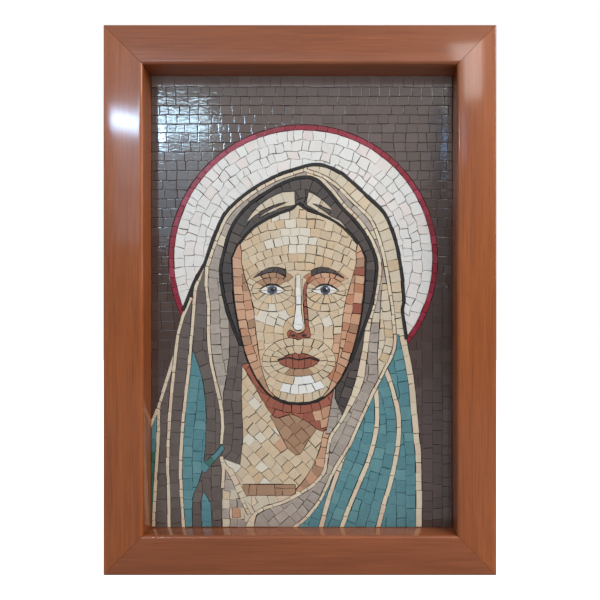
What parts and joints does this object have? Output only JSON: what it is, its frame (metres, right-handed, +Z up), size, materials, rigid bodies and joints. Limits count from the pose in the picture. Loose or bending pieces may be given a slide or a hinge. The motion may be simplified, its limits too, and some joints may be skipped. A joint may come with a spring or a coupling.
{
  "type": "framed mosaic panel",
  "caption": "Upright mosaic of a veiled woman with a halo, laid in cut stone and glass and set deep in a mitred, lacquered wooden frame, to hang on a wall.",
  "frame": {"origin": "centre of the flat back, where the panel lies against the wall", "axes": "+X to the viewer's right, +Y into the wall, +Z up; the picture faces -Y"},
  "size_m": [0.5, 0.045, 0.7],
  "materials": {
    "wood": "reddish brown hardwood under gloss lacquer",
    "board": "bare thin board",
    "mortar": "dark setting bed, matt",
    "umber": "brown glazed chips, glossy",
    "crimson": "crimson chips, satin",
    "cream": "cream and rose-white marble, honed",
    "ivory": "ivory marble strips, honed",
    "teal": "teal chips, satin",
    "taupe": "grey-brown marble, honed",
    "sand": "sand-coloured marble, honed",
    "skin": "pale ochre marble, honed",
    "peach": "peach marble, honed",
    "terracotta": "red-brown marble, honed",
    "charcoal": "charcoal stone, honed",
    "black": "black stone, honed",
    "white": "white marble, honed"
  },
  "bodies": {
    "root": {"top_rail": "wood", "right_stile": "wood", "bottom_rail": "wood", "left_stile": "wood", "backing_board": "board", "setting_bed": "mortar", "background": "umber", "halo_rim": "crimson", "halo_field": "cream", "mantle_fold_outer": "umber", "mantle_edge": "teal", "mantle_fold_middle": "umber", "mantle_fold_inner": "umber", "mantle_fold_lower": "umber", "teal_fold_left": "teal", "teal_wedge": "teal", "veil_band_left": "taupe", "hair_fall_left": "umber", "veil_outer_band_right": "sand", "teal_fold_outer": "teal", "teal_fold_third": "teal", "teal_fold_second": "teal", "teal_fold_first": "teal", "drape_fold_right": "taupe", "drape_light_right": "sand", "neck": "skin", "neck_side": "peach", "throat": "taupe", "neckband": "terracotta", "collar": "taupe", "collar_trim": "ivory", "neck_shadow": "terracotta", "drape_inner_right": "taupe", "hair_fall_right": "charcoal", "hair": "charcoal", "light_locks_left": "sand", "light_locks_right": "sand", "face_line": "black", "face": "skin", "cheek_right": "peach", "cheek_left": "peach", "nose_shade": "terracotta", "nose_light": "white", "lips": "terracotta", "brow_right": "charcoal", "brow_left": "charcoal", "eye_right": "white", "eye_left": "white", "inner_fold_strip": "ivory", "second_fold_strip": "ivory", "outer_fold_strip": "ivory", "left_hem_strip": "ivory", "teal_first_strip": "ivory", "teal_second_strip": "ivory", "teal_third_strip": "ivory", "neck_fold_strip": "ivory", "right_fold_strip": "ivory", "right_hem_strip": "ivory", "lining_line": "black", "veil_edge_line": "black"}
  },
  "joints": []
}
